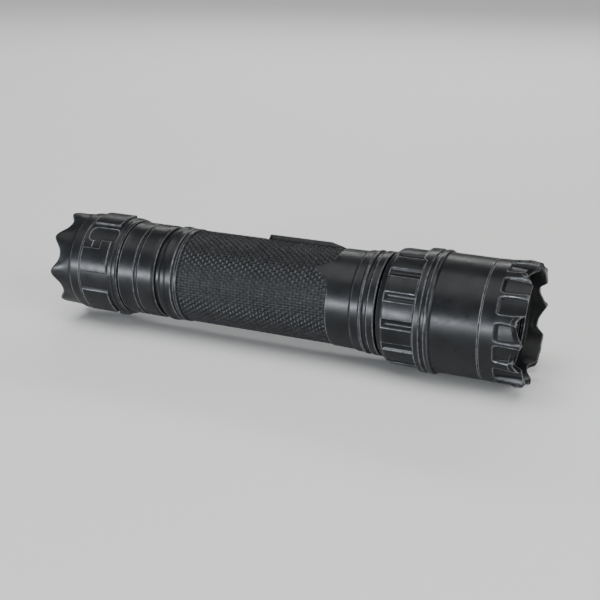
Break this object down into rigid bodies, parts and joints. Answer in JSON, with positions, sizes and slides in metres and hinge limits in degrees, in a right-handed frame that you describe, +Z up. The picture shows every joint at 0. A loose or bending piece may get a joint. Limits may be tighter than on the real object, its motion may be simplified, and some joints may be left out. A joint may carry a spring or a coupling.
{
  "type": "tactical flashlight",
  "caption": "Tactical flashlight with a crenellated strike bezel, fluted selector ring, knurled grip, raised side switch and scalloped tail cap.",
  "frame": {"origin": "on the optical axis, half way between the tips of the tail crown and the tips of the bezel", "axes": "+X along the optical axis from tail to lens, +Z up, with the side switch on the upper side towards +Y"},
  "size_m": [0.1356, 0.0322, 0.0322],
  "materials": {
    "anodised": "satin black hard anodising",
    "rubber": "matte",
    "plastic": "matte",
    "board": "solder mask",
    "steel": "bright",
    "brass": "satin",
    "cell_wrap": "heat-shrink film",
    "star": "white-masked metal-core board",
    "phosphor": "silicone dome over phosphor",
    "white_plastic": "matte",
    "mirror": "vapour-coated bowl",
    "glass": "coated flat glass"
  },
  "bodies": {
    "light": {"tail_oring": "rubber", "body_tube": "anodised", "side_button_frame": "anodised", "side_tact_switch": "steel", "side_switch_board": "board", "battery_cell": "cell_wrap", "battery_top": "steel", "neck_oring": "rubber", "driver_contact_spring": "brass", "driver_retaining_ring": "brass", "driver_board": "board", "driver_inductor": "plastic", "selector_snap_ring": "steel", "detent_ball": "steel", "detent_spring": "steel", "head_barrel": "anodised", "star_board": "star", "star_screw_1": "steel", "star_screw_2": "steel", "led_emitter": "phosphor", "led_centering_ring": "white_plastic", "reflector": "mirror"},
    "tail_cap": {"tail_cap": "anodised"},
    "tail_button": {"tail_button": "rubber", "tail_switch_plunger": "plastic"},
    "tail_switch": {"tail_switch_housing": "plastic", "tail_switch_board": "board", "tail_retaining_ring": "brass", "tail_contact_spring": "brass", "tail_return_spring": "steel"},
    "side_button": {"side_button": "rubber"},
    "selector": {"selector_ring": "anodised", "selector_magnet": "steel"},
    "lens_group": {"lens": "glass", "lens_oring": "rubber"},
    "bezel": {"strike_bezel": "anodised", "bezel_oring": "rubber"}
  },
  "joints": [
    {"name": "tail_cap_travel", "type": "slide", "parent": "light", "child": "tail_switch", "axis": [-1, 0, 0], "range_m": [0, 0.00562]},
    {"name": "tail_cap_turn", "type": "hinge", "parent": "tail_switch", "child": "tail_cap", "pos_m": [-0.055, 0, 0], "axis": [-1, 0, 0], "range_deg": [0, 1620]},
    {"name": "tail_button_press", "type": "slide", "parent": "tail_switch", "child": "tail_button", "axis": [1, 0, 0], "range_m": [0, 0.0015], "stiffness_N_per_m": 1500, "springref_m": -0.0008, "deforming": ["tail_return_spring"]},
    {"name": "side_button_press", "type": "slide", "parent": "light", "child": "side_button", "axis": [0, -0.5, -0.866], "range_m": [0, 0.0004], "stiffness_N_per_m": 3000, "springref_m": -0.0004},
    {"name": "selector_turn", "type": "hinge", "parent": "light", "child": "selector", "pos_m": [0.036, 0, 0], "axis": [1, 0, 0], "range_deg": [0, 120]},
    {"name": "bezel_travel", "type": "slide", "parent": "light", "child": "lens_group", "axis": [1, 0, 0], "range_m": [0, 0.005]},
    {"name": "bezel_turn", "type": "hinge", "parent": "lens_group", "child": "bezel", "pos_m": [0.06, 0, 0], "axis": [1, 0, 0], "range_deg": [0, 1440]}
  ],
  "couplings": [
    {"joint": "tail_cap_turn", "follows": "tail_cap_travel", "rad_per_m": 5026.5},
    {"joint": "bezel_turn", "follows": "bezel_travel", "rad_per_m": 5026.5}
  ]
}
